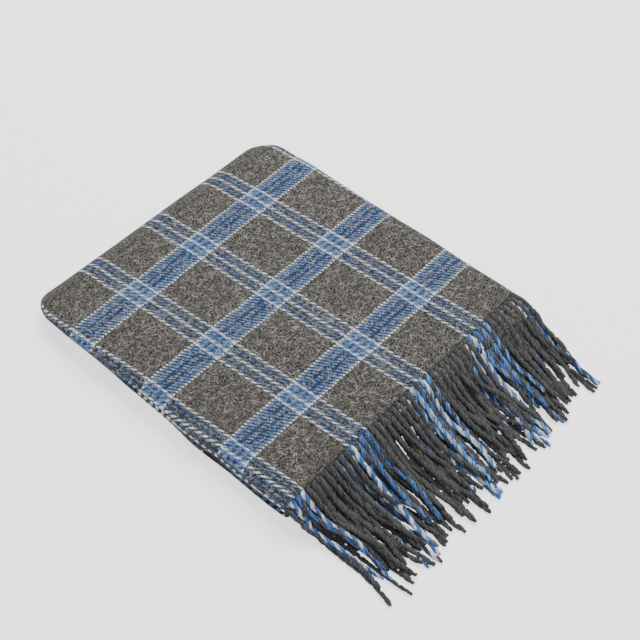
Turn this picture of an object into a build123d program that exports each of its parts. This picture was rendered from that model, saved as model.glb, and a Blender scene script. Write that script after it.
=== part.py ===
from build123d import *
import math
import os

# A wool throw, woven in one piece with a twisted fringe at both ends, folded and lying on a table.
#
# How it is folded, in order:
#   1. in half across its width, and in half again, so it is four plies thick;
#   2. its far end is turned in, which hides the far fringe inside;
#   3. in half along its length, and in half again.
#
# Frame: millimetres, +Z up, +X towards the fringe that shows, the table at z = 0. The origin is on
# the table, under the middle of the folded cloth.

# ---------------------------------------------------------------- sizes that can be set
cloth_width = 1300.0        # selvedge to selvedge
cloth_length = 1614.0       # woven length, without the fringes
turned_in_length = 198.0    # how much of the far end is turned in
ply_thickness = 1.7         # one layer of cloth, as it lies in the stack
tassel_length = 104.0       # free length of a tassel
tassel_width = 4.5          # a tassel lying flat
tassel_cover = 0.8          # share of a ply's thickness that a tassel takes up
tassel_tip_share = 0.32     # how thin the hidden tassels are pressed at their tips, as a share

stripe_count = 15           # blue stripes along the cloth
stripe_width = 27.3         # a blue stripe, over its cream edges
stripe_margin_share = 0.03773   # plain cloth by each selvedge, as a share of the width
tassels_in_stripe = 4
tassels_in_gap = 8
tassels_in_margin = 7

off_grain_deg = 3.0         # the folds run this far off the line of the stripes
end_setback = 4.5           # the woven end's middle lies this far short of the front fold
end_grain_shift = 9.5       # how far the stripes have moved towards +Y at the woven end

drape_angle_deg = 45.0      # slope of the cloth and tassels over the front edge
drape_overhang = 2.0        # how far out the slope starts, past the front edge
tassel_sweep_deg = -7.0     # the tassels are swept towards the side with the rolled lip

# ---------------------------------------------------------------- clearances
turn_gap = 0.3              # between the half that opens and the half that stays
layer_gap = 0.3             # under the lowest tassels, to the table
root_gap = 0.15             # between a tassel's root and the woven end

# ---------------------------------------------------------------- what follows from them
plies = 4
panels = 4
panel_length = (cloth_length - turned_in_length) / panels
bundle = plies * ply_thickness
half_width = cloth_width / plies / 2
front_x = panel_length / 2
back_x = -panel_length / 2

z_third = bundle
z_lower_top = 2 * bundle
z_upper = z_lower_top + turn_gap
z_turned_in = z_upper + bundle
z_top = z_turned_in + bundle
hinge_z = z_lower_top + turn_gap / 2
hinge_x = back_x + hinge_z
panel_start_x = hinge_x + turn_gap / 2
front_fold_x = front_x - bundle

front_fold_centreline = math.pi * bundle / 2
turned_in_end_x = front_fold_x - (turned_in_length - front_fold_centreline)
tucked_tip_x = turned_in_end_x - tassel_length
tucked_tip_height = bundle * tassel_tip_share
step_end_x = tucked_tip_x - 10.0

stripe_margin = cloth_width * stripe_margin_share
stripe_pitch = (cloth_width - stripe_width - 2 * stripe_margin) / (stripe_count - 1)
end_centre = front_x - end_setback
grain_slope = math.tan(math.radians(off_grain_deg))
sweep = math.radians(tassel_sweep_deg)
ply_names = ("1", "2", "3", "4")    # from the top of the stack down

os.makedirs("parts", exist_ok=True)


def save(name, solids):
    """Writes one node: its solids, side by side."""
    export_step(Compound(label=name, children=list(solids)), f"parts/{name}.step")


def prism(outline, y_low, y_high):
    """A solid with that outline in X and Z, from y_low to y_high."""
    face = make_face(Polyline([(x, 0, z) for x, z in outline], close=True))
    return Pos(0, y_low, 0) * extrude(face, amount=y_high - y_low, dir=(0, 1, 0))


def upright(corners):
    """A tall block with those corners in plan."""
    face = make_face(Polyline([(x, y, 0) for x, y in corners], close=True))
    return extrude(face, 2 * z_top)


def slab(x_low, x_high, z_low, z_high):
    return prism(
        [(x_low, z_low), (x_high, z_low), (x_high, z_high), (x_low, z_high)],
        -half_width,
        half_width,
    )


def half_ring(x, z, inner, outer, side):
    """A fold seen end on: half a ring about (x, z), bulging towards side, across the whole width."""
    ring = Cylinder(outer, 2 * half_width)
    if inner > 0:
        ring -= Cylinder(inner, 2 * half_width)
    keep = Pos(side * outer, 0, 0) * Box(2 * outer, 2 * outer, 2 * half_width)
    return Pos(x, 0, z) * Rot(90, 0, 0) * (ring & keep)


# ---------------------------------------------------------------- where the cloth's width lies
def ply_of(across):
    """Which ply, 0 at the top, holds the cloth at this distance across the fold lines."""
    quarter = cloth_width / plies
    if across < quarter:
        return 3
    return min(int(across / quarter) - 1, 2)


def across_at_end(place):
    """Where a place in the cloth's width comes to lie at the woven end. The selvedges stay put."""
    from_middle = abs(2 * place / cloth_width - 1)
    return place - end_grain_shift * (1 - from_middle**4)


def y_of(across):
    """Where that distance lies between the two long edges of the stack."""
    quarter = cloth_width / plies
    turns = across / quarter - 1
    folded = abs(turns) % 2
    if folded > 1:
        folded = 2 - folded
    return half_width - folded * quarter


def end_x(across):
    """Where the woven end lies: off the square, because the folds are off the grain."""
    middle = 1.5 * cloth_width / plies
    return end_centre + (across - middle) * grain_slope


# ---------------------------------------------------------------- the line the top ply lies along
slope_x = front_x + drape_overhang
slope_run = (z_top - layer_gap) / math.tan(math.radians(drape_angle_deg))
far_x = slope_x + slope_run + cloth_length
under_top = [
    (panel_start_x, z_turned_in),
    (step_end_x, z_turned_in),
    (tucked_tip_x, z_turned_in + tucked_tip_height),
    (turned_in_end_x, z_top),
    (slope_x, z_top),
    (slope_x + slope_run, layer_gap),
    (far_x, layer_gap),
]


def raised(line, height):
    """The line moved out by height, square to itself, with mitred corners."""
    moved = []
    for i, (x, z) in enumerate(line):
        normals = []
        for (x0, z0), (x1, z1) in zip(line[max(i - 1, 0) : i + 1], line[max(i, 1) : i + 2]):
            run = math.hypot(x1 - x0, z1 - z0)
            normals.append(((z0 - z1) / run, (x1 - x0) / run))
        nx = sum(n[0] for n in normals) / len(normals)
        nz = sum(n[1] for n in normals) / len(normals)
        size = nx * nx + nz * nz
        moved.append((x + height * nx / size, z + height * nz / size))
    return moved


def cut_line(line, x_low, x_high):
    """The stretch of a line from x_low to x_high."""
    kept = []
    for (x0, z0), (x1, z1) in zip(line, line[1:]):
        for x in (x_low, x_high):
            if x0 <= x <= x1:
                kept.append((x, z0 + (z1 - z0) * (x - x0) / (x1 - x0)))
        if x_low < x1 < x_high:
            kept.append((x1, z1))
    return sorted(set(kept))


def x_along(line, x_start, length):
    """The x that lies length further along the line than x_start."""
    stretch = cut_line(line, x_start, line[-1][0])
    for (x0, z0), (x1, z1) in zip(stretch, stretch[1:]):
        run = math.hypot(x1 - x0, z1 - z0)
        if length <= run:
            return x0 + (x1 - x0) * length / run
        length -= run
    return stretch[-1][0]


def band(x_low, x_high, low, high):
    """The outline of a layer on the top ply's line, from height low to height high above it."""
    lower = cut_line(raised(under_top, low), x_low, x_high)
    upper = cut_line(raised(under_top, high), x_low, x_high)
    return lower + upper[::-1]


# ---------------------------------------------------------------- the half that stays on the table
save("panel_bottom", [slab(panel_start_x, front_fold_x, 0, z_third)])
save("panel_lower_middle", [slab(panel_start_x, front_fold_x, z_third, z_lower_top)])
save("front_fold_lower", [half_ring(front_fold_x, z_third, 0, bundle, 1)])

# The back folds join the two halves. They flatten as the throw is opened.
inner_radius = hinge_z - z_third
save("back_fold_inner", [half_ring(hinge_x, hinge_z, turn_gap / 2, inner_radius, -1)])
save("back_fold_outer", [half_ring(hinge_x, hinge_z, inner_radius, hinge_z, -1)])

# ---------------------------------------------------------------- the half that opens
save("panel_upper_middle", [slab(panel_start_x, front_fold_x, z_upper, z_turned_in)])
save("front_fold_upper", [half_ring(front_fold_x, z_turned_in, 0, bundle, 1)])
save("turned_in_end", [slab(turned_in_end_x, front_fold_x, z_turned_in, z_top)])


def top_ply(ply):
    """One ply of the top panel, ending in the woven end, which runs off the square."""
    quarter = cloth_width / plies
    middle = (ply + 1.5) * quarter if ply < 3 else quarter / 2
    height = (plies - 1 - ply) * ply_thickness
    reach = abs(grain_slope) * quarter / 2
    ends = {y_of(middle - quarter / 2): end_x(middle - quarter / 2)}
    ends[y_of(middle + quarter / 2)] = end_x(middle + quarter / 2)
    outline = band(panel_start_x, end_x(middle) + reach, height, height + ply_thickness)
    corners = [(panel_start_x, -half_width), (ends[-half_width], -half_width)]
    corners += [(ends[half_width], half_width), (panel_start_x, half_width)]
    return prism(outline, -half_width, half_width) & upright(corners)


save("panel_top", [top_ply(ply) for ply in range(plies)])


# ---------------------------------------------------------------- the fringes
def tassel_places():
    """Every tassel of one end: its place across the cloth, its zone's colour and the zone's number."""
    places = []
    start = 0.0
    for zone in range(2 * stripe_count + 1):
        blue = zone % 2 == 1
        size = stripe_width if blue else stripe_pitch - stripe_width
        count = tassels_in_stripe if blue else tassels_in_gap
        if zone in (0, 2 * stripe_count):
            size = stripe_margin
            count = tassels_in_margin
        for i in range(count):
            place = start + (i + 0.5) * size / count
            places.append((place, "blue" if blue else "charcoal", zone))
        start += size
    return places


def shown_tassel(across, ply):
    """A tassel that hangs over the front edge, swept sideways, and lies on the table."""
    x_root = end_x(across) + root_gap
    low = (plies - 1 - ply) * ply_thickness
    high = low + ply_thickness * tassel_cover
    x_tip = x_along(raised(under_top, low), x_root, tassel_length * math.cos(sweep))
    y_root = y_of(across)
    y_tip = y_root + (x_tip - x_root) * math.tan(sweep)
    half = tassel_width / 2
    corners = [(x_root, y_root - half), (x_tip, y_tip - half), (x_tip, y_tip + half), (x_root, y_root + half)]
    return prism(band(x_root, x_tip, low, high), -cloth_width, cloth_width) & upright(corners)


def tucked_tassel(across, ply):
    """A tassel of the far end, pressed flat between the panels."""
    x_root = turned_in_end_x - root_gap
    x_tip = x_root - tassel_length + 2 * root_gap
    share = tucked_tip_height / bundle
    layer = plies - 1 - ply
    heights = {x_root: ply_thickness, x_tip: ply_thickness * share}
    low = {x: z_turned_in + layer * h for x, h in heights.items()}
    high = {x: low[x] + h * tassel_cover for x, h in heights.items()}
    outline = [(x_tip, low[x_tip]), (x_root, low[x_root]), (x_root, high[x_root]), (x_tip, high[x_tip])]
    y = y_of(across)
    return prism(outline, y - tassel_width / 2, y + tassel_width / 2)


shown = {}
tucked = {}
for place, colour, zone in tassel_places():
    across = across_at_end(place)
    ply = ply_of(across)
    node = f"fringe_ply{ply_names[ply]}_zone{zone + 1:02d}_{colour}"
    shown.setdefault(node, []).append(shown_tassel(across, ply))
    ply = ply_of(place)
    tucked.setdefault(f"tucked_fringe_ply{ply_names[ply]}", []).append(tucked_tassel(place, ply))

for node, solids in {**shown, **tucked}.items():
    save(node, solids)

print("stack", round(z_top + bundle, 2), "mm high at the front,", round(2 * hinge_z, 2), "at the back")
print("hinge line at x", round(hinge_x, 2), "z", round(hinge_z, 2))
print("tassels at each end", len(tassel_places()), "in", len(shown), "groups")
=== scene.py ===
# %% [markdown]
# # A folded wool throw
# A throw is one woven cloth with its own warp ends twisted into a fringe. Here it lies folded on a
# table, with one fringe running out over the front edge. Every piece is laid out in the frame of
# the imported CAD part, so the first step loads that frame and keeps its size.

# %% Load the frame
import math

import bpy
import numpy as np
from mathutils import Matrix
from mathutils.bvhtree import BVHTree


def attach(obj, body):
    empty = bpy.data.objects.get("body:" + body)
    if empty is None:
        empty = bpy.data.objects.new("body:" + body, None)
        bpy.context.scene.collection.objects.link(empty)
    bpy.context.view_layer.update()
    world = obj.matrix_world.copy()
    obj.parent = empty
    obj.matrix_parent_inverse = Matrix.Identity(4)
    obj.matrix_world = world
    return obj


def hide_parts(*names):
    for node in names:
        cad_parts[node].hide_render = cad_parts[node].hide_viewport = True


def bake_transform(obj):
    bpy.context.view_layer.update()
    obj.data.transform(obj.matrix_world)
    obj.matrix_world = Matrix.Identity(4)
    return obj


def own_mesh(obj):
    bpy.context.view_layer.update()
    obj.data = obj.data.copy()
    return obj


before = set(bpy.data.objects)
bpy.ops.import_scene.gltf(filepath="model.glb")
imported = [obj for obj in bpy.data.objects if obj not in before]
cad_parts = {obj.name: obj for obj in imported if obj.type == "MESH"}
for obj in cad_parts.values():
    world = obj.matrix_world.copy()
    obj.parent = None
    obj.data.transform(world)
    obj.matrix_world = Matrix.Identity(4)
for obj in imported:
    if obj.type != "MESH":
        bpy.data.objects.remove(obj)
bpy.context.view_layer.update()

# %% [markdown]
# ## The sizes of the cloth and of its folds
# The cloth is folded in half across its width twice, its far end is turned in, and then it is
# folded in half along its length twice. All lengths here are in millimetres, because a weaver
# thinks in them; they become metres only when a mesh is made.

# %% Sizes
MM = 0.001
CLOTH_WIDTH = 1300.0
PANEL = 354.0
PLIES = 4
PLY = 1.7                    # from one layer's middle to the next
CLOTH = 1.45                 # the cloth itself
BUNDLE = PLIES * PLY
TURN_GAP = 0.3
TURNED_IN = 198.0            # the length of the far end that is turned in
QUARTER = CLOTH_WIDTH / PLIES
HALF = QUARTER / 2
HINGE_Z = 2 * BUNDLE + TURN_GAP / 2
HINGE_X = -PANEL / 2 + HINGE_Z
START_X = HINGE_X + TURN_GAP / 2
FOLD_X = PANEL / 2 - BUNDLE
END_X = 172.5                # the woven end, at the middle of the top ply
UPPER_Z = 2 * BUNDLE + TURN_GAP
TURNED_Z = UPPER_Z + BUNDLE
TOP_Z = TURNED_Z + BUNDLE
TURNED_END_X = FOLD_X - (TURNED_IN - math.pi * BUNDLE / 2)
TASSEL = 104.0
OFF_GRAIN = math.radians(3.0)
PLY_HEIGHT = {"a": 3.5 * PLY, "b": 2.5 * PLY, "c": 1.5 * PLY, "d": 0.5 * PLY}
print("stack", TOP_Z + BUNDLE, "mm high at the front,", 2 * HINGE_Z, "at the back")

# %% [markdown]
# ## One row across the folded cloth
# Cut through the stack from side to side, the cloth is one line that runs to and fro: from a
# selvedge along the lowest ply, round to the top ply, and back between them. It is made of flat
# runs and half ovals, with points close together round the folds and wide apart between them.


# %% Runs and half ovals
def flat_run(start, end, step):
    """Places from start to end, close together near both."""
    length = abs(end - start)
    near = [0.0, 1.5, 3.5, 6.5, 11.0]
    count = max(2, round((length - 22.0) / step))
    inner = np.linspace(11.0, length - 11.0, count + 1)[1:-1]
    along = np.concatenate([near, inner, length - np.array(near[::-1])])
    return start + np.sign(end - start) * along


def edge_arc(y_edge, h_from, h_to, depth):
    """Half an oval from one ply to another, bulging depth past y_edge."""
    angles = np.linspace(-90.0, 90.0, 9)[1:-1] * np.pi / 180
    middle = (h_from + h_to) / 2
    y = y_edge + depth * np.cos(angles)
    h = middle + (h_to - h_from) / 2 * np.sin(angles)
    return y, h


print("a flat run of 100 mm has", len(flat_run(0.0, 100.0, 16.0)), "places")


# %% [markdown]
# ## The whole line
# The points of that line give the columns of every mesh. Each one also knows how far across the
# cloth it is, so that the pattern can follow it round the folds.


# %% The line across
def line_across():
    """y, height in the bundle, and distance across the cloth of every column."""
    rim = HALF - CLOTH / 2
    wide, small = 3.4, 1.5
    pieces = []
    anchors = [0]
    count = 0

    def add(y, h):
        nonlocal count
        pieces.append((np.broadcast_to(y, np.shape(y)), np.broadcast_to(h, np.shape(y))))
        count += len(y)

    add(flat_run(-rim, rim - wide, 16.0), PLY_HEIGHT["d"])
    anchors.append(count + 3)
    add(*edge_arc(rim - wide, PLY_HEIGHT["d"], PLY_HEIGHT["a"], wide))
    add(flat_run(rim - wide, -rim + small, 5.0), PLY_HEIGHT["a"])
    anchors.append(count + 3)
    add(*edge_arc(-rim + small, PLY_HEIGHT["a"], PLY_HEIGHT["b"], -small))
    add(flat_run(-rim + small, rim - small - 2.0, 16.0), PLY_HEIGHT["b"])
    anchors.append(count + 3)
    add(*edge_arc(rim - small - 2.0, PLY_HEIGHT["b"], PLY_HEIGHT["c"], small))
    add(flat_run(rim - small - 2.0, -rim, 16.0), PLY_HEIGHT["c"])
    anchors.append(count - 1)
    y = np.concatenate([p[0] for p in pieces])
    h = np.concatenate([p[1] for p in pieces])
    run = np.concatenate([[0], np.cumsum(np.hypot(np.diff(y), np.diff(h)))])
    s = np.interp(run, run[anchors], np.arange(len(anchors)) * QUARTER)
    return y, h, s


COL_Y, COL_H, COL_S = line_across()
print("columns", len(COL_S), "across", CLOTH_WIDTH, "mm of cloth")


# %% [markdown]
# ## Where the pattern lies
# The folds don't follow the stripes exactly: they run three degrees off the grain, as they do when
# a throw is folded by eye. So the place in the weave is worked out from the place in the fold.
# Along the fold the distance is `q`, from the woven end with the fringe that shows.


# %% From fold to weave
TURN_Q, TURN_S, TURN_ALONG = 182.0, 482.5, 177.0     # the place that the stripes are turned about
DRIFT_REACH = 400.0
EVENED = 0.45                # how much of the stagger the ends of plies b and c keep


def ease(t):
    """0 up to 0, 1 from 1 on, and smooth between."""
    t = np.clip(t, 0, 1)
    return t * t * (3 - 2 * t)


def grain_drift(q):
    """How far the stripes have moved across, at distance q along the fold."""
    off = q - TURN_Q
    return -np.sin(OFF_GRAIN) * off / (1 + (off / DRIFT_REACH) ** 6)


def weave_place(s, q):
    """Distance from the selvedge and from the woven end, in the true directions of the yarns."""
    free = 1 - np.abs(2 * s / CLOTH_WIDTH - 1) ** 4
    across = s + grain_drift(q) * free
    c = np.cos(OFF_GRAIN)
    along = q * c + TURN_ALONG - TURN_Q * c - (TURN_S - s) * np.sin(OFF_GRAIN)
    return across, along


def end_x(s):
    """Where the woven end lies, for cloth that far across."""
    off = s - 1.5 * QUARTER
    off = np.where(off > HALF, HALF + EVENED * (off - HALF), off)
    return END_X + off * math.tan(OFF_GRAIN)


def fold_y(s):
    """Where that cloth lies between the long edges of the stack."""
    folded = np.abs(s / QUARTER - 1) % 2
    folded = np.where(folded > 1, 2 - folded, folded)
    return HALF - folded * QUARTER


print("the woven end runs from x", round(float(end_x(0)), 1), "to", round(float(end_x(CLOTH_WIDTH)), 1), "mm")


# %% [markdown]
# ## Edges and corners
# Woollen cloth never lies dead flat. Its edges wander, the lower layers are drawn in under the top
# one, most of all on the -Y side, and the back corners are round.


# %% Edges and corners
DRAWN_IN = 4.2               # the lower layers, at both long edges
OVERHANG = 9.0               # drawn in further, at the -Y edge
CORNER = 25.0                # the radius of the back corners


def waves(x, y, seed):
    """A smooth, slow unevenness between about -1 and 1."""
    rng = np.random.default_rng(seed)
    total = np.zeros(np.broadcast(x, y).shape)
    for _ in range(6):
        length = rng.uniform(75, 190)
        angle = rng.uniform(0, np.pi)
        phase = rng.uniform(0, 2 * np.pi)
        total += np.sin(2 * np.pi * (x * np.cos(angle) + y * np.sin(angle)) / length + phase)
    return total / 3.0


def draw_in(x, y, z):
    """How far the cloth near a long edge is moved inwards."""
    near_edge = ease((np.abs(y) - (HALF - 30)) / 30)
    further_back = 1.1 * ease((-x - 50.0) / 110.0)
    drawn_in = DRAWN_IN * ease((23.0 - z) / 8) * (1 + 0.35 * waves(x, z * 9, 11) + further_back)
    wander = 0.9 * (1 + waves(x * 1.3, z * 4, 12))
    overhang = OVERHANG * ease((20.0 - z) / 14) * ease((70.0 - x) / 200.0) * (y < 0)
    return near_edge * (drawn_in + wander + overhang)


def round_corners(x, y, side):
    """The two back corners brought in from a square to a round shape."""
    a = np.clip((-x - (PANEL / 2 - CORNER)) / CORNER, 0, 1.2)
    b = np.clip((np.abs(y) - (HALF - CORNER)) / CORNER, 0, 1.2)
    a_in = a * np.sqrt(np.clip(1 - b * b / 2, 0, 1))
    b_in = b * np.sqrt(np.clip(1 - a * a / 2, 0, 1))
    return x + (a - a_in) * CORNER, y - side * (b - b_in) * CORNER


low_edge = draw_in(np.array([-100.0, 100.0]), np.array([-HALF, -HALF]), np.array([5.0, 5.0]))
print("lowest layer drawn in on the -Y side by", low_edge.round(1), "mm, at the back and at the front")


# %% [markdown]
# ## Softness
# One smooth bend is worked out for every point of space and then used on every layer, so that the
# layers stay on top of each other. To the edges and corners it adds slow waves that grow with
# height, a full back fold, a back that rises a little and long edges that are pressed thinner.


# %% The bend that softens the stack
BULGE = 12.5                 # of the back fold
RISE = 4.4                   # of the back half


def soften(p, lowest=CLOTH / 2 + 0.05):
    """Points in millimetres, moved as soft cloth would lie."""
    x, y, z = p[..., 0], p[..., 1], p[..., 2]
    side = np.sign(y)
    y = y - side * draw_in(x, y, z)
    x, y = round_corners(x, y, side)
    back = np.clip((-x - (PANEL / 2 - 14.0)) / 14.0, 0, 1.2)
    x = x - (BULGE + 4.0 * y / HALF) * back * np.sin(np.pi * np.clip(z / (2 * HINGE_Z), 0, 1)) ** 0.8
    rise = RISE * ease((-x - 30.0) / 110.0) * (0.8 + 0.3 * y / HALF)
    z = z + rise * ease(z / 24.0) ** 1.2
    pillow = ease((np.abs(y) - (HALF - 17.0)) / 17.0) ** 2 * ease((PANEL / 2 + 25.0 - x) / 40.0)
    z = z * (1 - np.where(y < 0, 0.22, 0.06) * pillow)
    lift = z / (TOP_Z + BUNDLE)
    z = z + lift * (0.9 * waves(x, y, 21) + 0.35 * waves(x * 2.3, y * 2.3, 22))
    return np.stack([x, y, np.maximum(z, lowest)], axis=-1)


print("a point at the back fold moves to", soften(np.array([[-PANEL / 2, 0.0, HINGE_Z]])).round(1)[0])


# %% [markdown]
# ## The line the top panel lies along
# The top panel starts low at the back, steps up over the end that is turned in under it, and
# slopes down over the front edge to the table. A smoothed line gives its height, and the layers
# lie at steady distances from that line, square to it.


# %% The top panel's line
LINE_X = np.arange(-260.0, 460.0, 0.5)
TUCKED_TIP_X = TURNED_END_X - TASSEL
front_x = PANEL / 2 + 2
corner_x = [-260, TUCKED_TIP_X - 10, TUCKED_TIP_X, TURNED_END_X, front_x, front_x + TOP_Z - 0.3, 460]
corner_z = [TURNED_Z, TURNED_Z, TURNED_Z + 0.32 * BUNDLE, TOP_Z, TOP_Z, 0.3, 0.3]
sharp = np.interp(LINE_X, corner_x, corner_z)
kernel = np.exp(-0.5 * (np.arange(-40, 41) * 0.5 / 4.5) ** 2)
LINE_Z = np.convolve(np.pad(sharp, 40, mode="edge"), kernel / kernel.sum(), mode="valid")
LINE_SLOPE = np.gradient(LINE_Z, LINE_X)
NORMAL_X = -LINE_SLOPE / np.hypot(LINE_SLOPE, 1)
NORMAL_Z = 1 / np.hypot(LINE_SLOPE, 1)


def over_line(x, h):
    """The place at height h over the line, whose own x is x."""
    x, h = np.broadcast_arrays(x, h)
    t = x.copy()
    for _ in range(12):
        t = t + 0.7 * (x - (t + h * np.interp(t, LINE_X, NORMAL_X)))
    z = np.interp(t, LINE_X, LINE_Z) + h * np.interp(t, LINE_X, NORMAL_Z)
    return z


print("top panel from", round(float(over_line(np.array(-150.0), 6.8)), 1), "mm high at the back to",
      round(float(over_line(np.array(100.0), 6.8)), 1), "at the front")

# %% [markdown]
# ## Rows along the cloth
# Along its length the cloth is laid as straight panels and half turns. Each helper gives a grid
# of points, one row after another, and how far along the cloth each row is. At a turn the inner
# plies go round a small circle and the outer ones round a large one.


# %% Panels and turns
def panel_rows(x_from, x_to, z_inner, side, q_from, step):
    """A flat panel: side is +1 where the top ply is up, -1 where it is down."""
    count = max(2, round(abs(x_to - x_from) / step))
    x = np.linspace(x_from, x_to, count + 1)
    q = q_from + np.abs(x - x_from)
    grid = np.zeros((len(x), len(COL_S), 3))
    grid[..., 0] = x[:, None]
    grid[..., 1] = COL_Y
    grid[..., 2] = z_inner + side * COL_H
    return grid, np.repeat(q[:, None], len(COL_S), 1)


def turn_rows(x, z, inner, outward, angle_from, angle_to, q_from, q_to, count):
    """A half turn about (x, z): the plies lie inner + outward * height from its centre."""
    angles = np.radians(np.linspace(angle_from, angle_to, count + 1))[:, None]
    radius = inner + outward * COL_H
    grid = np.zeros((count + 1, len(COL_S), 3))
    grid[..., 0] = x + radius * np.cos(angles)
    grid[..., 1] = COL_Y
    grid[..., 2] = z + radius * np.sin(angles)
    q = np.linspace(q_from, q_to, count + 1)[:, None]
    return grid, np.repeat(q, len(COL_S), 1)


def joined(*parts):
    """Grids one after another, without the repeated rows between them."""
    grids = [parts[0][0]] + [g[1:] for g, _ in parts[1:]]
    rows = [parts[0][1]] + [q[1:] for _, q in parts[1:]]
    return np.concatenate(grids), np.concatenate(rows)


print("a panel has", len(panel_rows(START_X, FOLD_X, 0, 1, 0, 9.0)[0]), "rows")


# %% [markdown]
# ## The top panel
# The top panel lies on its own line. Its rows are square to the stack at first, and then they fan
# out to meet the woven end, which runs off the square.


# %% The top panel
FAN_X = 138.0                # the rows fan out from here to the woven end


def top_rows():
    """The top panel, from the back to the woven end."""
    ends = end_x(COL_S)
    straight = np.linspace(START_X, FAN_X, 68)
    share = np.linspace(0, 1, 27)[1:]
    x = np.concatenate([np.repeat(straight[:, None], len(COL_S), 1),
                        FAN_X + share[:, None] * (ends - FAN_X)[None, :]])
    ramp = ease((x - START_X) / 60)
    lip = np.exp(-(((COL_Y + HALF) / 11.0) ** 2)) * np.clip((COL_H - PLY_HEIGHT["b"]) / PLY, 0, 1)
    h = COL_H + 1.6 * lip * ramp
    grid = np.stack([x, np.broadcast_to(COL_Y, x.shape), over_line(x, h)], axis=-1)
    return grid, PANEL / 2 - x


print("the top panel has", len(top_rows()[0]), "rows")

# %% [markdown]
# ## The fold lines
# Adding up panels and half turns from the woven end tells how far along the cloth each fold line
# comes. The pattern needs these distances to run on over the folds.

# %% The fold lines
ARC_OUTER = math.pi * (HINGE_Z - CLOTH / 2)
ARC_FRONT = math.pi * PLY_HEIGHT["a"]
ARC_INNER = math.pi * (HINGE_Z - BUNDLE - PLY_HEIGHT["a"])
Q1 = PANEL / 2 - START_X
Q2 = Q1 + ARC_OUTER
Q3 = Q2 + FOLD_X - START_X
Q4 = Q3 + ARC_FRONT
Q5 = Q4 + FOLD_X - START_X
Q6 = Q5 + ARC_INNER
Q7 = Q6 + FOLD_X - START_X
Q8 = Q7 + ARC_FRONT
print("fold lines at", [round(q) for q in (Q1, Q3, Q5, Q7)], "mm along the cloth")


# %% [markdown]
# ## Turning a grid into cloth
# A grid of points becomes a mesh of four-sided faces. Its UV map is the place in the weave in
# metres, so any texture on it is at true scale and bends with the cloth. A Solidify modifier
# gives it the thickness of milled wool, and it is applied so that the mesh is final.


# %% Make a piece of cloth
def new_piece(name, points, faces, uv_name, uv):
    """A mesh in the scene; uv has a pair for every corner of every face."""
    mesh = bpy.data.meshes.new(name)
    mesh.from_pydata(points.tolist(), [], faces)
    layer = mesh.uv_layers.new(name=uv_name)
    layer.data.foreach_set("uv", uv.astype(np.float32).ravel())
    obj = bpy.data.objects.new(name, mesh)
    bpy.context.scene.collection.objects.link(obj)
    return obj


def make_cloth(name, grid, q):
    rows, cols = q.shape
    points = soften(grid) * MM
    across, along = weave_place(COL_S[None, :], q)
    uv = np.stack([across, along], axis=-1) * MM
    index = np.arange(rows * cols).reshape(rows, cols)
    faces = np.stack([index[:-1, :-1], index[:-1, 1:], index[1:, 1:], index[1:, :-1]], axis=-1).reshape(-1, 4)
    obj = new_piece(name, points.reshape(-1, 3), faces.tolist(), "Weave", uv.reshape(-1, 2)[faces.ravel()])
    thicken = obj.modifiers.new("thickness", "SOLIDIFY")
    thicken.thickness = CLOTH * MM
    thicken.offset = 0
    thicken.use_rim = True
    bpy.context.view_layer.update()
    final = bpy.data.meshes.new_from_object(obj.evaluated_get(bpy.context.evaluated_depsgraph_get()))
    obj.modifiers.clear()
    obj.data = final
    final.name = name
    final.polygons.foreach_set("use_smooth", np.ones(len(final.polygons), bool))
    print(name, len(final.polygons), "faces")
    return obj


# %% [markdown]
# ## The five pieces
# The cloth is cut only where its parts have to move differently: the upper half, the lower half,
# and the two back folds between them. The top panel is apart because of its own line.

# %% The five pieces
cloth_top = make_cloth("cloth_top_panel", *top_rows())
cloth_middle = make_cloth("cloth_upper_middle_and_turned_in_end", *joined(
    panel_rows(START_X, FOLD_X, TURNED_Z, -1, Q6, 9.0),
    turn_rows(FOLD_X, TURNED_Z, 0, 1, -90, 90, Q7, Q8, 12),
    panel_rows(FOLD_X, TURNED_END_X, TURNED_Z, 1, Q8, 9.0),
))
cloth_lower = make_cloth("cloth_lower_panels", *joined(
    panel_rows(START_X, FOLD_X, BUNDLE, -1, Q2, 9.0),
    turn_rows(FOLD_X, BUNDLE, 0, 1, -90, 90, Q3, Q4, 12),
    panel_rows(FOLD_X, START_X, BUNDLE, 1, Q4, 9.0),
))
back_outer = make_cloth("cloth_back_fold_outer", *turn_rows(
    HINGE_X, HINGE_Z, HINGE_Z - BUNDLE, 1, 90, 270, Q1, Q2, 22))
back_inner = make_cloth("cloth_back_fold_inner", *turn_rows(
    HINGE_X, HINGE_Z, HINGE_Z - BUNDLE, -1, 270, 90, Q5, Q6, 16))

# %% [markdown]
# ## The camera and the light
# The camera looks down on the stack from one corner, from about a metre and a half away. The
# light is soft and comes mostly from above and behind, which leaves the near long side in shade.

# %% Camera and lights
CAMERA_PLACE = (0.787, -0.642, 1.101)
CAMERA_AHEAD = (-0.507, 0.449, -0.736)
CAMERA_RIGHT = (0.706, 0.706, -0.055)
CAMERA_LENS = 86.2


def stand(name, data, place, right, up, back):
    """An object that holds data, at a place and with these three axes."""
    obj = bpy.data.objects.new(name, data)
    bpy.context.scene.collection.objects.link(obj)
    matrix = np.eye(4)
    matrix[:3, 0], matrix[:3, 1], matrix[:3, 2], matrix[:3, 3] = right, up, back, place
    obj.matrix_world = Matrix(matrix.tolist())
    return obj


def look(place, forward, right, lens):
    """A camera at a place, looking along forward."""
    data = bpy.data.cameras.new("camera")
    data.lens = lens
    data.sensor_width = 36
    f = np.array(forward) / np.linalg.norm(forward)
    r = np.array(right) - np.dot(right, f) * f
    r /= np.linalg.norm(r)
    return stand("camera", data, place, r, np.cross(r, f), -f)


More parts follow.
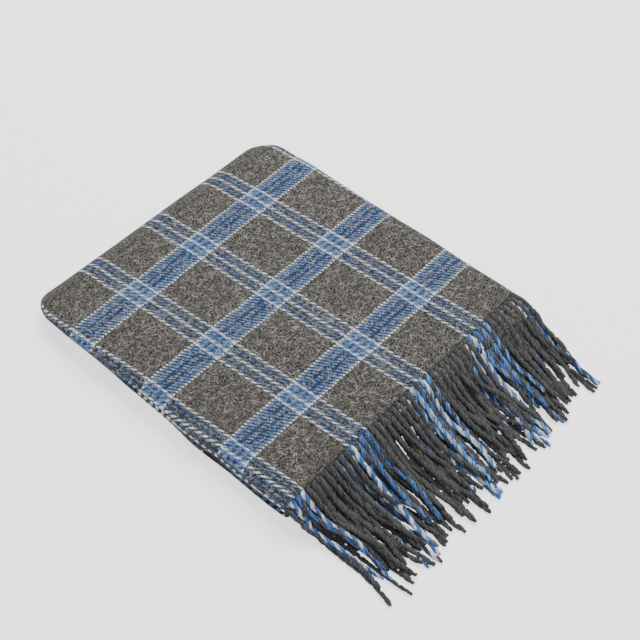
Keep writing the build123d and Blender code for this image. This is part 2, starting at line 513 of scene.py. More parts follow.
def area_light(name, place, aim, size, power):
    """A square lamp at a place, turned towards aim."""
    data = bpy.data.lights.new(name, "AREA")
    data.size = size
    data.energy = power
    direction = np.array(aim, float) - np.array(place, float)
    z = -direction / np.linalg.norm(direction)
    x = np.cross((0, 1, 0.01), z)
    x /= np.linalg.norm(x)
    stand(name, data, place, x, np.cross(z, x), z)


bpy.context.scene.camera = look(CAMERA_PLACE, CAMERA_AHEAD, CAMERA_RIGHT, CAMERA_LENS)
area_light("sky_panel", (-0.5, 0.9, 1.9), (0, 0, 0), 1.6, 58)
area_light("near_panel", (1.2, -0.3, 1.7), (0, 0, 0), 1.2, 5)
print("camera", round(float(np.linalg.norm(CAMERA_PLACE)), 2), "m from the middle of the stack")

# %% [markdown]
# ## The room and the table
# A pale sky fills the shadows from all round, and the throw lies on a plain table top.

# %% Room and table
world = bpy.data.worlds.new("studio")
bpy.context.scene.world = world
world.use_nodes = True
background = world.node_tree.nodes["Background"]
background.inputs["Color"].default_value = (0.95, 0.97, 1.0, 1)
background.inputs["Strength"].default_value = 0.48

bpy.ops.mesh.primitive_plane_add(size=12, location=(0, 0, 0))
table = bpy.context.object
table.name = "table_top"
print("table", [round(d, 1) for d in table.dimensions], "m")

# %% [markdown]
# ## Writing shader sums as sums
# A material here is a recipe of nodes. `Recipe.node` adds any node from its type, its settings and
# what goes into its sockets, and `feed` links a socket or sets its value.


# %% Recipes
class Recipe:
    """One material and its nodes."""

    def __init__(self, name):
        self.material = bpy.data.materials.new(name)
        self.material.use_nodes = True
        self.tree = self.material.node_tree
        self.shader = self.tree.nodes["Principled BSDF"]

    def node(self, kind, settings=None, inputs=None, out=0):
        made = self.tree.nodes.new(kind)
        for key, value in (settings or {}).items():
            setattr(made, key, value)
        for key, value in (inputs or {}).items():
            self.feed(made.inputs[key], value)
        return Thread(self, made.outputs[out])

    def feed(self, socket, value):
        if isinstance(value, Thread):
            self.tree.links.new(value.socket, socket)
        else:
            socket.default_value = value

    def mix(self, factor, a, b):
        """Colour a where factor is 0, colour b where it is 1."""
        return self.node("ShaderNodeMix", {"data_type": "RGBA"}, {0: factor, 6: a, 7: b}, out=2)

    def noise(self, place, scale, detail=2.0, roughness=0.5, stretch=(1, 1, 1), turn=0.0):
        """Noise from 0 to 1 around 0.5, stretched and turned in the plane of the cloth."""
        placed = self.node("ShaderNodeMapping", None,
                           {"Vector": place, "Scale": stretch, "Rotation": (0, 0, turn)})
        return self.node("ShaderNodeTexNoise", None,
                         {"Vector": placed, "Scale": scale, "Detail": detail, "Roughness": roughness})


# %% [markdown]
# ## Threads
# A `Thread` is one socket's value. Adding or multiplying threads adds the Math nodes, so a pattern
# reads like the sum it is.


# %% Threads
class Thread:
    """The value of one socket."""

    def __init__(self, recipe, socket):
        self.recipe = recipe
        self.socket = socket

    def math(self, operation, *values):
        return self.recipe.node("ShaderNodeMath", {"operation": operation}, dict(enumerate(values)))

    def __add__(self, other):
        return self.math("ADD", self, other)

    __radd__ = __add__

    def __sub__(self, other):
        return self.math("SUBTRACT", self, other)

    def __rsub__(self, other):
        return self.math("SUBTRACT", other, self)

    def __mul__(self, other):
        return self.math("MULTIPLY", self, other)

    __rmul__ = __mul__

    def __truediv__(self, other):
        return self.math("DIVIDE", self, other)

    def __mod__(self, other):
        return self.math("FLOORED_MODULO", self, other)

    def __abs__(self):
        return self.math("ABSOLUTE", self)

    def whole(self):
        return self.math("FLOOR", self)

    def at_least(self, other):
        return self.math("MAXIMUM", self, other)

    def rise(self, low, high):
        """0 below low, 1 above high, and smooth between."""
        return self.recipe.node("ShaderNodeMapRange", {"interpolation_type": "SMOOTHSTEP"},
                                {"Value": self, "From Min": low, "From Max": high})


def srgb(r, g, b):
    """A colour given as it looks on a screen, 0 to 255, in the linear light that shaders use."""
    linear = [((c / 255 + 0.055) / 1.055) ** 2.4 if c > 10 else c / 255 / 12.92 for c in (r, g, b)]
    return (*linear, 1.0)


print("mid grey on a screen is", round(srgb(128, 128, 128)[0], 3), "of full light")

# %% [markdown]
# ## The yarns
# Milling felts the surface, so the yarns wander and every edge in the pattern is soft and a
# little crooked. `end` counts the lengthwise yarns, `pick` the others.

# %% The yarns
END_REPEAT, PICK_REPEAT = 84.0, 52.0       # yarns from one stripe to the next
END_PITCH = 83.9 / END_REPEAT              # one lengthwise yarn, in millimetres
PICK_PITCH = 105.0 / PICK_REPEAT           # one crosswise yarn
FIRST_END_STRIPE = 62.7
FIRST_PICK_STRIPE = 72.0


def felted_yarns(r, big, u, v):
    """Which lengthwise and which crosswise yarn is at a place, with its fraction."""
    slow_u = r.noise(big, 0.10, 2.0) - 0.5
    slow_v = r.noise(big, 0.09, 2.0, turn=0.7) - 0.5
    fast_u = r.noise(big, 0.75, 2.0, 0.6, turn=0.3) - 0.5
    fast_v = r.noise(big, 0.7, 2.0, 0.6, turn=1.1) - 0.5
    end = (u - FIRST_END_STRIPE) / END_PITCH + slow_u * 1.6 + fast_u * 1.0
    pick = (v - FIRST_PICK_STRIPE) / PICK_PITCH + slow_v * 1.2 + fast_v * 0.5
    return end, pick


def twill(r, end, pick):
    """1 where the lengthwise yarn is on top, and a chance number for every crossing."""
    end_number = end.whole()
    pick_number = pick.whole()
    over = ((end_number - pick_number) % 4.0).rise(1.4, 1.6)
    knot = r.node("ShaderNodeCombineXYZ", None, {0: end_number, 1: pick_number})
    chance = r.node("ShaderNodeTexWhiteNoise", {"noise_dimensions": "2D"}, {"Vector": knot})
    return over, chance


print("yarns every", round(END_PITCH, 3), "mm across and", round(PICK_PITCH, 3), "mm along")

# %% [markdown]
# ## The stripes
# Lengthwise stripes have three cream lines with blue and black between; crosswise stripes are blue
# with a dotted cream edge. Both are masks of the distance from the nearest stripe's middle.

# %% The stripes
END_SIDE = 12.0              # from a lengthwise stripe's middle to its side lines, in yarns
PICK_EDGE = 7.5              # from a crosswise stripe's middle to its edge


def from_stripe(yarn, repeat):
    """Distance from the middle of the nearest stripe, in yarns."""
    return abs(((yarn + repeat / 2) % repeat) - repeat / 2)


def lengthwise_masks(off):
    cream = (1 - off.rise(1.0, 1.25)) + (1 - abs(off - END_SIDE).rise(1.0, 1.25))
    blue = 1 - off.rise(12.9, 13.4)
    black = 1 - abs(((off - 1.0) % 4.0) - 3.0).rise(1.0, 1.4)
    return cream, blue, black


def crosswise_masks(off):
    cream = 1 - abs(off - PICK_EDGE).rise(0.45, 0.62)
    blue = 1 - off.rise(PICK_EDGE, 7.9)
    navy = 1 - abs((off % 4.0) - 1.8).rise(0.7, 1.0)
    return cream, blue, navy


print("lengthwise stripe", 2 * END_SIDE, "yarns wide, crosswise", 2 * PICK_EDGE)

# %% [markdown]
# ## The wool
# Charcoal wool is a mixture: light and dark fibres lie in slow patches, under fine fuzz and a
# tangle of pale hairs. A hair is a place where a stretched noise is close to its middle value.

# %% The wool
CHARCOAL_DARK = srgb(21, 20, 18)
CHARCOAL_LIGHT = srgb(118, 113, 105)
HAIR_GREY = srgb(196, 194, 188)
CREAM = srgb(255, 252, 236)
CREAM_SHADE = srgb(214, 220, 226)
BLUE = srgb(54, 108, 176)
BLUE_PALE = srgb(138, 178, 224)
BLUE_DEEP = srgb(14, 32, 66)
BLACK = srgb(14, 14, 18)
TANGLE = ((0.55, 0.4, (1, 0.25, 1)), (0.6, 1.0, (0.22, 1, 1)), (0.5, 2.3, (1, 0.3, 1)))


def hair_tangle(r, big):
    """1 on fine crossing hairs, made by three sets of lines."""
    tangle = None
    for scale, turn, stretch in TANGLE:
        line = r.noise(big, scale, 1.5, 0.6, stretch, turn)
        line = 1 - abs(line - 0.5).rise(0.001, 0.0085)
        tangle = line if tangle is None else tangle.at_least(line)
    return tangle


def charcoal_wool(r, big, fuzz, chance):
    patch = r.noise(big, 0.16, 3.0, 0.6)
    heather = fuzz.rise(0.46, 0.62) * 0.9 + (patch - 0.5) * 0.9 + chance * 0.1
    return r.mix(heather, CHARCOAL_DARK, CHARCOAL_LIGHT)


print("sets of hair lines:", len(TANGLE))


# %% [markdown]
# ## The colours of the two sets of yarns
# Every yarn is charcoal outside the stripes. Inside them the lengthwise yarns are blue, black and
# cream, and the crosswise ones blue, navy and cream. Where a stripe of the other set crosses
# charcoal yarns, they are darkened.


# %% Colours of the yarns
def lengthwise_colour(r, charcoal, cream_wool, shade, deep, masks, pick_blue):
    cream, blue, black = masks
    wool = r.mix(deep, BLUE_DEEP, BLUE)
    wool = r.mix(shade * 0.5, wool, BLUE_PALE)
    wool = r.mix(black * 0.85, wool, BLACK)
    colour = r.mix(pick_blue * 0.8, charcoal, BLUE_DEEP)
    colour = r.mix(blue, colour, wool)
    return r.mix(cream, colour, cream_wool)


def crosswise_colour(r, charcoal, cream_wool, shade, deep, off, masks, end_blue):
    cream, blue, navy = masks
    wool = r.mix(deep, BLUE, BLUE_PALE)
    wool = r.mix(shade * 0.4, wool, BLUE_DEEP)
    wool = r.mix(navy * (0.85 - end_blue * 0.15), wool, BLUE_DEEP)
    wool = r.mix(off.rise(5.2, 5.8) * 0.6, wool, BLUE_PALE)
    colour = r.mix(end_blue * 0.45, charcoal, BLACK)
    colour = r.mix(blue, colour, wool)
    return r.mix(cream, colour, cream_wool)


# %% [markdown]
# ## The woven check
# The twill mask decides which set of yarns shows. A crosswise yarn that shows has painted shade
# darkening it where it dives under, and the same roundness, with the fuzz and the hairs, gives the bumps.


# %% The woven check
def make_weave_material():
    r = Recipe("checked_wool")
    place = r.node("ShaderNodeUVMap", {"uv_map": "Weave"})
    big = r.node("ShaderNodeVectorMath", {"operation": "SCALE"}, {0: place, "Scale": 1000.0})
    u = r.node("ShaderNodeSeparateXYZ", None, {0: big})
    v = Thread(r, u.socket.node.outputs[1])
    end, pick = felted_yarns(r, big, u, v)
    over, chance = twill(r, end, pick)
    end_masks = lengthwise_masks(from_stripe(end, END_REPEAT))
    pick_off = from_stripe(pick, PICK_REPEAT)
    pick_masks = crosswise_masks(pick_off)
    end_blue, pick_blue = end_masks[1], pick_masks[1]

    fuzz = r.noise(big, 0.5, 3.0, 0.75)
    tangle = hair_tangle(r, big)
    charcoal = charcoal_wool(r, big, fuzz, chance)
    shade = r.noise(big, 0.55, 2.0, 0.6, turn=0.9).rise(0.43, 0.57)
    deep = chance.rise(0.15, 0.85)
    cream_wool = r.mix(shade, CREAM, CREAM_SHADE)
    end_colour = lengthwise_colour(r, charcoal, cream_wool, shade, deep, end_masks, pick_blue)
    pick_colour = crosswise_colour(r, charcoal, cream_wool, shade, deep, pick_off, pick_masks, end_blue)
    colour = r.mix(over, pick_colour, end_colour)

    round_end = 1 - abs((end % 1.0) - 0.5) * 2
    round_pick = 1 - abs((pick % 1.0) - 0.5) * 2
    # Painted shade: a crosswise yarn on top is darkened towards black at its edges, for the shade in the gaps
    # between yarns.
    unshaded_pick_middle = round_pick.rise(-0.2, 0.4)
    colour = r.mix((1 - unshaded_pick_middle) * (1 - over) * 0.5, colour, BLACK)
    colour = r.mix(tangle * 0.45 * (1 - 0.4 * pick_blue), colour, HAIR_GREY)
    yarn = round_pick + over * (round_end - round_pick)
    height = yarn * 0.35 + fuzz * 0.7 + tangle * 0.35
    bump = r.node("ShaderNodeBump", None, {"Strength": 0.6, "Distance": 0.0009, "Height": height})
    r.feed(r.shader.inputs["Base Color"], colour)
    r.feed(r.shader.inputs["Normal"], bump)
    r.feed(r.shader.inputs["Roughness"], 0.88 + (fuzz - 0.5) * 0.12)
    r.shader.inputs["Sheen Weight"].default_value = 0.06
    r.shader.inputs["Sheen Roughness"].default_value = 0.5
    r.shader.inputs["Sheen Tint"].default_value = (0.92, 0.94, 1.0, 1)
    r.shader.inputs["Specular IOR Level"].default_value = 0.15
    return r.material


weave = make_weave_material()
print("weave material has", len(weave.node_tree.nodes), "nodes")
for piece in (cloth_top, cloth_middle, cloth_lower, back_outer, back_inner):
    piece.data.materials.append(weave)


# %% [markdown]
# ## The table's finish
# The table is a nearly white panel that also gives light of its own, as a light table does. That
# keeps the shadow round the throw soft and pale.


# %% The table's finish
def plain_floor():
    r = Recipe("pale_table")
    place = r.node("ShaderNodeTexCoord", out=3)
    grain = r.noise(place, 9.0, 3.0)
    r.feed(r.shader.inputs["Base Color"], r.mix(grain, (0.86, 0.86, 0.86, 1), (0.89, 0.89, 0.89, 1)))
    r.shader.inputs["Roughness"].default_value = 0.7
    r.shader.inputs["Emission Color"].default_value = (1, 1, 1, 1)
    r.shader.inputs["Emission Strength"].default_value = 1.3
    return r.material


table.data.materials.append(plain_floor())
print("table finish:", table.data.materials[0].name)

# %% [markdown]
# ## Loose hairs
# Milling and brushing pull the ends of fibres out of woollen cloth. They lie every way on its
# surface, a few millimetres long, and catch the light. Here they are dropped on the top panel by
# casting rays down onto it. Past an edge a fibre has nothing under it and droops, which softens
# the outline.

# %% Where the loose hairs lie
HAIRS = 9500
HAIR_RADIUS = 0.115
HAIR_SIDES = 3
HAIR_STEPS = 6


def hair_lines(cloth, count, rng):
    """The middle lines of fibres that lie on the cloth, in millimetres."""
    steps = HAIR_STEPS
    t = np.linspace(0, 1, steps)
    length = rng.uniform(3.0, 9.0, count)[:, None]
    heading = rng.uniform(0, 2 * np.pi, count)[:, None] + rng.normal(0, 1.3, count)[:, None] * t
    x = rng.uniform(-PANEL / 2 - 6, 176.0, count)[:, None] + np.cumsum(np.cos(heading), 1) * length / steps
    y = rng.uniform(-HALF, HALF, count)[:, None] + np.cumsum(np.sin(heading), 1) * length / steps
    arch = rng.uniform(0.1, 0.7, count)[:, None] * np.sin(np.pi * t)
    loose = (rng.uniform(0, 1, count) ** 4)[:, None] * 1.3 * t * t
    surface = BVHTree.FromObject(cloth, bpy.context.evaluated_depsgraph_get())
    z = np.full(x.shape, np.nan)
    for i in range(count):
        for j in range(steps):
            hit = surface.ray_cast((x[i, j] * MM, y[i, j] * MM, 0.2), (0, 0, -1))[0]
            if hit is not None:
                z[i, j] = hit.z / MM
            elif j and not np.isnan(z[i, j - 1]):
                z[i, j] = z[i, j - 1] - 0.25
    keep = ~np.isnan(z).any(axis=1) & (np.abs(np.diff(z, axis=1)).max(axis=1) < 1.5)
    return np.stack([x, y, z + 0.1 + arch + loose], axis=-1)[keep]


nap_lines = hair_lines(cloth_top, HAIRS, np.random.default_rng(31))
print(len(nap_lines), "of", HAIRS, "hairs lie on the cloth")


# %% [markdown]
# ## Making the hairs
# Each fibre is a thin three-sided tube that narrows to its tip. The UV map holds the fibre's
# number, and the recipe draws a grey for each number.


# %% Loose hairs
def hair_mesh(name, lines):
    """Three-sided tubes round the lines, in one mesh; the UV map holds each fibre's number."""
    count, steps = lines.shape[:2]
    ahead = np.gradient(lines, axis=1)
    side = np.cross((0.0, 0.0, 1.0), ahead)
    side /= np.linalg.norm(side, axis=2)[..., None]
    taper = HAIR_RADIUS * (1 - 0.6 * np.linspace(0, 1, steps) ** 2)[None, :, None]
    rings = []
    for angle in (0.5, 2.6, 4.7):
        rings.append(lines + side * taper * math.cos(angle) + np.array((0, 0, 1)) * taper * math.sin(angle))
    points = np.stack(rings, axis=2).reshape(-1, 3) * MM
    base = (np.arange(count)[:, None, None] * steps + np.arange(steps - 1)[None, :, None]) * HAIR_SIDES
    k = np.arange(HAIR_SIDES)[None, None, :]
    k_next = (k + 1) % HAIR_SIDES
    corners = [base + k, base + k_next, base + k_next + HAIR_SIDES, base + k + HAIR_SIDES]
    faces = np.stack(corners, axis=-1).reshape(-1, 4)
    number = np.repeat(np.arange(count), (steps - 1) * HAIR_SIDES * 4) + 0.5
    return new_piece(name, points, faces.tolist(), "Hair", np.stack([number, np.zeros(len(number))], axis=-1))


def make_hair_material():
    r = Recipe("loose_wool_hairs")
    place = r.node("ShaderNodeUVMap", {"uv_map": "Hair"})
    u = r.node("ShaderNodeSeparateXYZ", None, {0: place})
    lot = r.node("ShaderNodeTexWhiteNoise", {"noise_dimensions": "1D"}, {"W": u.whole()})
    colour = r.mix(lot.rise(0.1, 0.9), srgb(112, 110, 105), srgb(232, 229, 220))
    r.feed(r.shader.inputs["Base Color"], colour)
    r.shader.inputs["Roughness"].default_value = 0.75
    r.shader.inputs["Specular IOR Level"].default_value = 0.25
    return r.material


nap = hair_mesh("cloth_loose_hairs", nap_lines)
nap.data.materials.append(make_hair_material())
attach(nap, "upper_half")
print("loose hairs", len(nap.data.polygons), "faces")

# %% [markdown]
# ## Where the tassels stand
# A twisted fringe is made from the warp ends left beyond the weaving: a few ends are twisted one
# way, two such bundles are laid round each other the other way, and the tassel holds its own
# twist. So each tassel has the colours of the warp ends above it: four tassels to a blue stripe,
# eight to the charcoal between, seven at each margin.

# %% Tassel places
STRIPES = 15
STRIPE_WIDTH = 27.3
MARGIN = 49.05
STRIPE_PITCH = (CLOTH_WIDTH - STRIPE_WIDTH - 2 * MARGIN) / (STRIPES - 1)


def tassel_places():
    """Place across the cloth, colour and zone of every tassel at one end."""
    places = []
    start = 0.0
    for zone in range(2 * STRIPES + 1):
        blue = zone % 2 == 1
        size = STRIPE_WIDTH if blue else STRIPE_PITCH - STRIPE_WIDTH
        count = 4 if blue else 8
        if zone in (0, 2 * STRIPES):
            size = MARGIN
            count = 7
        for i in range(count):
            places.append((start + (i + 0.5) * size / count, "blue" if blue else "charcoal", zone))
        start += size
    return places


def ply_letter(s):
    """The ply that holds the cloth this far across: a is the top one."""
    return "dabc"[min(int(s / QUARTER), 3)]


def at_end(place):
    """Where a place in the weave comes to lie at the woven end."""
    return place - 9.5 * (1 - abs(2 * place / CLOTH_WIDTH - 1) ** 4)


PLACES = tassel_places()
print(len(PLACES), "tassels at each end")

# %% [markdown]
# ## A height map
# A limp cord lies on whatever is under it. The tassels are laid one at a time, the lowest ply's
# first, over a height map of the table and of what is already there. Each one lies on the map
# where it passes and then raises it for the next. That is how a real fringe builds up, and it
# needs no physics run.

# %% The height map
MAP_X0, MAP_Y0 = 130.0, -210.0
MAP_STEP = 1.0
CORD_HIGH = 1.75             # half the height of a tassel that lies flat
map_x = np.arange(MAP_X0, 345.0, MAP_STEP)
map_y = np.arange(MAP_Y0, 210.0, MAP_STEP)
height_map = np.zeros((len(map_x), len(map_y)))


def map_read(x, y):
    i = np.clip((x - MAP_X0) / MAP_STEP, 0, len(map_x) - 1.001)
    j = np.clip((y - MAP_Y0) / MAP_STEP, 0, len(map_y) - 1.001)
    i0, j0 = i.astype(int), j.astype(int)
    fi, fj = i - i0, j - j0
    return ((height_map[i0, j0] * (1 - fi) + height_map[i0 + 1, j0] * fi) * (1 - fj)
            + (height_map[i0, j0 + 1] * (1 - fi) + height_map[i0 + 1, j0 + 1] * fi) * fj)


def map_raise(x, y, top):
    for dx in (-1, 0, 1):
        for dy in (-2, -1, 0, 1, 2):
            i = np.clip(np.round((x - MAP_X0) / MAP_STEP).astype(int) + dx, 0, len(map_x) - 1)
            j = np.clip(np.round((y - MAP_Y0) / MAP_STEP).astype(int) + dy, 0, len(map_y) - 1)
            np.maximum.at(height_map, (i, j), top - 0.35 * dy * dy)


def smooth(values, reach):
    k = np.exp(-0.5 * (np.arange(-3 * reach, 3 * reach + 1) / reach) ** 2)
    return np.convolve(np.pad(values, 3 * reach, mode="edge"), k / k.sum(), mode="valid")


print("height map of", height_map.shape, "places")


# %% [markdown]
# ## The course of a tassel
# Seen from above, the tassels lean in towards the middle of the fringe and gather in clumps, and
# each has its own heading, curl and slow waver. A slope uses up length, so a step on it covers
# less ground.


# %% The course of a tassel
LAY_STEP = 1.5


def tassel_course(s, rng, length):
    """x and y of a tassel's middle line, from the woven end on."""
    x, y = [float(end_x(s)) - 1.5], [float(fold_y(s))]
    spread = y[0] / HALF
    clump = math.sin(s * 2 * math.pi / 31.0) * 2.6 + math.sin(s * 2 * math.pi / 83.0 + 1.0) * 2.4
    inward = 7.0 * float(ease((-spread - 0.6) / 0.4))
    degrees = -4.5 - 6.5 * spread + inward + clump * (1 - 0.5 * abs(spread)) + rng.normal(0, 2.0)
    heading = math.radians(degrees)
    curl = math.radians(rng.normal(0, 7.0)) / length
    bend = rng.uniform(0, 2 * math.pi)
    t = np.arange(0, length * 1.25, LAY_STEP)
    outward = math.radians(16.0) * float(ease((spread - 0.75) / 0.25)) * np.exp(-t / 28)
    waver = math.radians(5.0) * np.sin(t / 19.0 + bend) * np.minimum(t / 40, 1)
    angle = heading * (0.3 + 0.7 * ease(t / 45)) + outward + curl * t + waver
    for a in angle[:-1]:
        slant = abs(np.interp(x[-1], LINE_X, LINE_SLOPE))
        run = LAY_STEP / math.hypot(1, slant)
        x.append(x[-1] + run * math.cos(a))
        y.append(y[-1] + run * math.sin(a))
    return np.array(x), np.array(y)


course_x, course_y = tassel_course(1.5 * QUARTER, np.random.default_rng(0), TASSEL)
print("a tassel in the middle of the top ply starts at x", round(course_x[0], 1), "y", round(course_y[0], 1))


# %% [markdown]
# ## Laying a tassel down
# A tassel leaves the cloth at its own ply and comes down onto the map within about 40 mm. Its
# height is smoothed, because a cord can't bend sharply, and then it is cut to its length.


# %% Laying a tassel down
def tassel_heights(x, y, ply):
    """Height of a tassel's middle line over the map, along its course."""
    own = over_line(x, PLY_HEIGHT[ply] - 0.2)
    fade = ease((x - x[0] - 4.0) / 40.0)
    lowest = own * (1 - fade) + (np.interp(x, LINE_X, LINE_Z) + CORD_HIGH) * fade
    support = smooth(map_read(x, y), 2) + CORD_HIGH
    z = np.maximum(lowest, support)
    z = np.maximum(smooth(z, 5), np.minimum(z, smooth(z, 3)))
    z[:4] = own[:4]
    return np.concatenate([z[:1], smooth(z, 2)[1:]])


def lay_tassel(s, ply, rng, length):
    """The middle line of one tassel, from the woven end to its tip."""
    x, y = tassel_course(s, rng, length)
    z = tassel_heights(x, y, ply)
    run = np.concatenate([[0], np.cumsum(np.sqrt(np.diff(x) ** 2 + np.diff(y) ** 2 + np.diff(z) ** 2))])
    keep = run <= length
    free = keep & (x > x[0] + 6)
    map_raise(x[free], y[free], z[free] + CORD_HIGH)
    return np.stack([x[keep], y[keep], z[keep]], axis=1)


lines = {}
rng = np.random.default_rng(7)
ordered = sorted(PLACES, key=lambda p: "dcba".index(ply_letter(at_end(p[0]))))
for place, colour, zone in ordered:
    s = at_end(place)
    ply = ply_letter(s)
    short = 1 - 0.13 * float(ease((fold_y(s) - 60.0) / 80.0))
    length = TASSEL * short * float(np.clip(rng.normal(1.05, 0.045), 0.92, 1.12))
    lines.setdefault((ply, zone, colour), []).append(lay_tassel(s, ply, rng, length))
highest = max(line[:, 2].max() for group in lines.values() for line in group)
print(len(lines), "groups of tassels, up to", round(highest, 1), "mm high")

# %% [markdown]
# ## One strand
# Each tassel is two thick strands wound round each other. A strand is an oval tube whose centre
# goes round the tassel's line once in every 16 mm or so. It starts flat and spread where it leaves
# the cloth, thins at the tip, and is a little uneven all along, as woollen yarn is.

# %% One strand
AROUND = 8                   # points round a strand


def directions(line):
    """Distance along a line, and at every point of it the directions ahead, sideways and up."""
    run = np.concatenate([[0], np.cumsum(np.linalg.norm(np.diff(line, axis=0), axis=1))])
    ahead = np.gradient(line, axis=0)
    ahead /= np.linalg.norm(ahead, axis=1)[:, None]
    sideways = np.cross(np.broadcast_to((0.0, 0.0, 1.0), ahead.shape), ahead)
    sideways /= np.linalg.norm(sideways, axis=1)[:, None]
    return run, ahead, sideways, np.cross(ahead, sideways)


def strand_points(line, phase, pitch, radius, squeeze, number):
    """The tube's points, ring after ring, then one for each end; and the distance along it."""
    run, ahead, sideways, upward = directions(line)
    near_root = 1 - ease(run / 14.0)
    near_tip = ease((run - (run[-1] - 6.0)) / 6.0)
    angle = phase + 2 * np.pi * run / pitch + 0.5 * np.sin(run / 23.0 + phase)
    uneven = 1 + 0.08 * np.sin(run / 5.1 + number) + 0.06 * np.sin(run / 2.3 + 2.1 * number)
    r = radius * uneven * (1 - 0.3 * near_tip)
    flat = squeeze * (1 - 0.45 * near_root)
    spread = 1 + 0.3 * near_root
    side_off = 0.48 * r * spread * np.cos(angle)
    up_off = 0.48 * r * np.sin(angle) * flat
    centre = line + sideways * side_off[:, None] + upward * up_off[:, None]
    turn = np.linspace(0, 2 * np.pi, AROUND, endpoint=False)[None, :]
    outward, along_rim = 0.54 * r[:, None] * np.cos(turn), 0.86 * r[:, None] * np.sin(turn)
    cos_a, sin_a = np.cos(angle)[:, None], np.sin(angle)[:, None]
    ring_side = (outward * cos_a - along_rim * sin_a) * spread[:, None]
    ring_up = (outward * sin_a + along_rim * cos_a) * flat[:, None]
    ring = sideways[:, None, :] * ring_side[..., None] + upward[:, None, :] * ring_up[..., None]
    points = (centre[:, None, :] + ring).reshape(-1, 3)
    return np.concatenate([points, centre[:1] - ahead[:1] * 0.3, centre[-1:] + ahead[-1:] * 0.8]), run


longest = max(len(line) for group in lines.values() for line in group)
print("the longest strand has", longest, "rings of", AROUND, "points")


# %% [markdown]
# ## The faces of a strand
# Four-sided faces join the rings, and small triangles close the two ends. The UV map says which
# strand it is, where round the strand, and how far along, which is all that the colours need.


# %% The faces of a strand
def strand(line, phase, pitch, radius, squeeze, number):
    """One strand's tube: its points, faces and UVs."""
    n = len(line)
    points, run = strand_points(line, phase, pitch, radius, squeeze, number)
    i = np.arange(n - 1)[:, None] * AROUND
    j = np.arange(AROUND)[None, :]
    k = (j + 1) % AROUND
    faces = np.stack([i + j, i + k, i + k + AROUND, i + j + AROUND], axis=-1).reshape(-1, 4)
    around = np.stack([j, j + 1, j + 1, j], axis=-1) / AROUND * 0.98
    around = np.broadcast_to(around, (n - 1, AROUND, 4)) + number
    along = np.stack([run[:-1], run[:-1], run[1:], run[1:]], axis=-1)[:, None, :]
    along = np.broadcast_to(along, (n - 1, AROUND, 4))
    uv = np.stack([around, along * MM * 10], axis=-1).reshape(-1, 2)
    first, last = len(points) - 2, len(points) - 1
    base = (n - 1) * AROUND
    caps = [(first, (m + 1) % AROUND, m) for m in range(AROUND)]
    caps += [(last, base + m, base + (m + 1) % AROUND) for m in range(AROUND)]
    cap_uv = []
    for c in range(len(caps)):
        end = 0.0 if c < AROUND else run[-1] * MM * 10
        cap_uv += [(number + 0.5, end), (number + 0.4, end), (number + 0.6, end)]
    return points, faces, caps, uv, np.array(cap_uv)


# %% [markdown]
# ## Twisting a tassel
# The two strands of a tassel are half a turn apart. All the tassels of one ply and one colour zone
# become one piece, which goes through the same softening bend as the cloth.

# %% Twisted strands
STRAND_RADIUS = 2.55
PLY_NUMBER = {"a": 1, "b": 2, "c": 3, "d": 4}


def make_tassels(name, group, first_number, radius, rng, squeeze=0.72):
    """One mesh for a group of tassels, two strands each."""
    points, quads, tris, quad_uv, tri_uv = [], [], [], [], []
    base = 0
    number = first_number
    for line in group:
        phase = rng.uniform(0, 2 * np.pi)
        pitch = rng.uniform(14.0, 18.0)
        for half in (0, 1):
            p, f, c, uv, cuv = strand(line, phase + half * np.pi, pitch, radius, squeeze, number)
            points.append(p)
            quads.append(f + base)
            tris += [tuple(base + m for m in cap) for cap in c]
            quad_uv.append(uv)
            tri_uv.append(cuv)
            base += len(p)
            number += 1
    points = soften(np.concatenate(points), 0.05) * MM
    faces = np.concatenate(quads).tolist() + tris
    obj = new_piece(name, points, faces, "Strand", np.concatenate(quad_uv + tri_uv))
    obj.data.polygons.foreach_set("use_smooth", np.ones(len(obj.data.polygons), bool))
    return obj, number


fringe = {}
number = 0
rng = np.random.default_rng(19)
for (ply, zone, colour), group in sorted(lines.items()):
    name = f"tassels_ply{PLY_NUMBER[ply]}_zone{zone + 1:02d}_{colour}"
    obj, number = make_tassels(name, group, number, STRAND_RADIUS, rng)
    fringe[obj] = (ply, zone, colour)
print(len(fringe), "tassel pieces,", number, "strands,", sum(len(o.data.polygons) for o in fringe), "faces")

# %% [markdown]
# ## The hidden fringe
# The far end is turned in, so its fringe lies pressed flat inside the stack, each ply's tassels at
# their own level. Hardly any of it can be seen, so it is made with far fewer steps along each
# tassel.

# %% The tassels of the end that is turned in
HIDDEN_RADIUS = 1.8
HIDDEN_SQUEEZE = 0.10
hidden = {}
rng = np.random.default_rng(23)
tucked_lines = {}
for place, colour, zone in PLACES:
    ply = ply_letter(place)
    x = np.linspace(TURNED_END_X - 0.5, TURNED_END_X - TASSEL + 2.5, 18)
    thin = np.interp(x, [TUCKED_TIP_X, TURNED_END_X], [0.34 * PLY, PLY])
    z = TURNED_Z + thin * (PLY_HEIGHT[ply] / PLY)
    y = np.full(len(x), float(fold_y(place)))
    tucked_lines.setdefault(ply, []).append(np.stack([x, y, z], axis=1))
for ply, group in sorted(tucked_lines.items()):
    name = f"hidden_tassels_ply{PLY_NUMBER[ply]}"
    obj, number = make_tassels(name, group, number, HIDDEN_RADIUS, rng, squeeze=HIDDEN_SQUEEZE)
    hidden[obj] = ply
print(len(hidden), "hidden pieces")

# %% [markdown]
# ## The yarns of the fringe
# A tassel under a blue stripe is mostly a blue strand wound with a cream or a black one; between
# the stripes all are charcoal. The recipe draws a colour for each strand from its number, and then
# fine slanted streaks along it for the separate yarns and their hairs.


